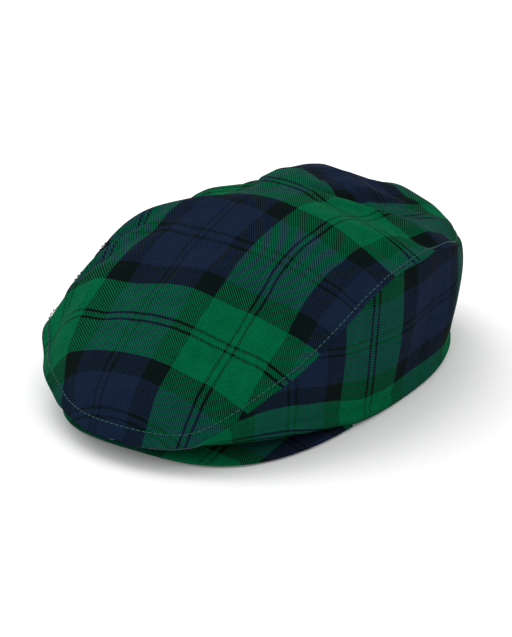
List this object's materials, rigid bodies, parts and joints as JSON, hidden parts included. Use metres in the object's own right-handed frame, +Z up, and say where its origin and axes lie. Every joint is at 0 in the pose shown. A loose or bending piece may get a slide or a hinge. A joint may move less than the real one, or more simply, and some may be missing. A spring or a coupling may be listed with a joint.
{
  "type": "flat cap",
  "caption": "Tartan flat cap with a one-piece topstitched top sewn over a short stiff brim, side panels, lining and sweatband.",
  "frame": {"origin": "bottom centre of the cap's box, on the surface that the hem and the brim rest on", "axes": "+Z up, -Y towards the brim, +Y towards the back of the head, +X towards the wearer's left"},
  "size_m": [0.182, 0.2702, 0.096],
  "materials": {
    "tartan": "brushed cotton twill in a dark green, navy and black check",
    "brim_board": "matte polyethylene board",
    "sweatband": "black cotton twill tape",
    "lining": "navy satin lining",
    "label": "white woven satin tab, blank"
  },
  "bodies": {
    "crown": {"top_panel": "tartan", "left_side_panel": "tartan", "right_side_panel": "tartan", "lining_top": "lining", "lining_left": "lining", "lining_right": "lining", "sweatband": "sweatband", "care_label": "label"},
    "brim": {"brim_board": "brim_board", "brim_top_cover": "tartan", "brim_under_cover": "tartan"}
  },
  "joints": [
    {"name": "brim_flex", "type": "hinge", "parent": "crown", "child": "brim", "pos_m": [0, -0.034, 0.002], "axis": [1, 0, 0], "range_deg": [0, 9], "stiffness_Nm_per_rad": 1.2}
  ]
}
